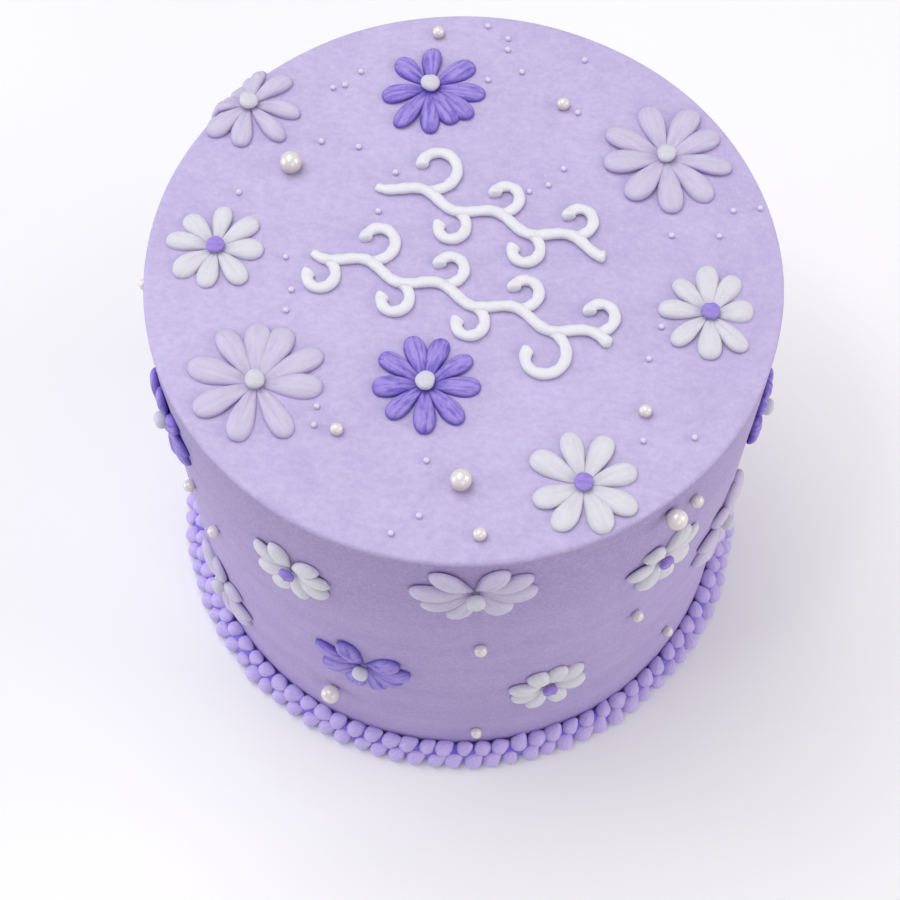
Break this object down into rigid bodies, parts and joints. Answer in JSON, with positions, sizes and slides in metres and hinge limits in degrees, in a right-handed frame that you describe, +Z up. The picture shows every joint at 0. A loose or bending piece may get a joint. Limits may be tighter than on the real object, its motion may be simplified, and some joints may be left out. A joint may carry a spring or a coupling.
{
  "type": "birthday cake",
  "caption": "Tall round birthday cake in lilac icing with sugar daisies, sugar pearls, piped scrollwork on top and a piped bead border round its foot.",
  "frame": {"origin": "middle of the flat underside, on the surface that the cake stands on", "axes": "+Z up through the middle of the cake, -Y towards the front, +X to the right seen from the front"},
  "size_m": [0.1745, 0.1746, 0.1502],
  "materials": {
    "icing_lilac": "matte rolled icing, smooth",
    "piping_violet": "matte piped icing",
    "petal_white": "matte sugar paste",
    "petal_pale": "matte sugar paste",
    "petal_violet": "matte sugar paste, brushed and mottled",
    "eye_white": "matte sugar paste",
    "eye_violet": "matte sugar paste, rough",
    "pearl": "pearl sheen, satin",
    "piping_white": "matte piped icing"
  },
  "bodies": {
    "root": {"cake": "icing_lilac", "bead_border": "piping_violet", "daisy_top_back_petals": "petal_violet", "daisy_top_back_eye": "eye_white", "daisy_top_right_petals": "petal_pale", "daisy_top_right_eye": "eye_white", "daisy_top_left_petals": "petal_white", "daisy_top_left_eye": "eye_violet", "daisy_top_right_low_petals": "petal_white", "daisy_top_right_low_eye": "eye_violet", "daisy_top_left_low_petals": "petal_pale", "daisy_top_left_low_eye": "eye_white", "daisy_top_front_petals": "petal_violet", "daisy_top_front_eye": "eye_white", "daisy_top_front_low_petals": "petal_white", "daisy_top_front_low_eye": "eye_violet", "daisy_top_rim_petals": "petal_pale", "daisy_top_rim_eye": "eye_white", "daisy_side_front_petals": "petal_pale", "daisy_side_front_eye": "eye_white", "daisy_side_front_low_petals": "petal_white", "daisy_side_front_low_eye": "eye_violet", "daisy_side_front_left_petals": "petal_violet", "daisy_side_front_left_eye": "eye_white", "daisy_side_left_petals": "petal_white", "daisy_side_left_eye": "eye_violet", "daisy_side_right_petals": "petal_white", "daisy_side_right_eye": "eye_violet", "daisy_side_left_low_petals": "petal_pale", "daisy_side_left_low_eye": "eye_white", "daisy_side_left_high_petals": "petal_violet", "daisy_side_left_high_eye": "eye_white", "daisy_side_right_low_petals": "petal_pale", "daisy_side_right_low_eye": "eye_white", "daisy_side_right_high_petals": "petal_violet", "daisy_side_right_high_eye": "eye_white", "daisy_back_1_petals": "petal_white", "daisy_back_1_eye": "eye_violet", "daisy_back_2_petals": "petal_pale", "daisy_back_2_eye": "eye_white", "daisy_back_3_petals": "petal_violet", "daisy_back_3_eye": "eye_white", "daisy_back_4_petals": "petal_white", "daisy_back_4_eye": "eye_violet", "daisy_back_5_petals": "petal_pale", "daisy_back_5_eye": "eye_white", "daisy_back_6_petals": "petal_violet", "daisy_back_6_eye": "eye_white", "daisy_back_7_petals": "petal_white", "daisy_back_7_eye": "eye_violet", "pearl_large_1": "pearl", "pearl_large_2": "pearl", "pearl_large_3": "pearl", "pearl_large_4": "pearl", "pearl_large_5": "pearl", "scroll_upper": "piping_white", "scroll_lower": "piping_white"}
  },
  "joints": []
}
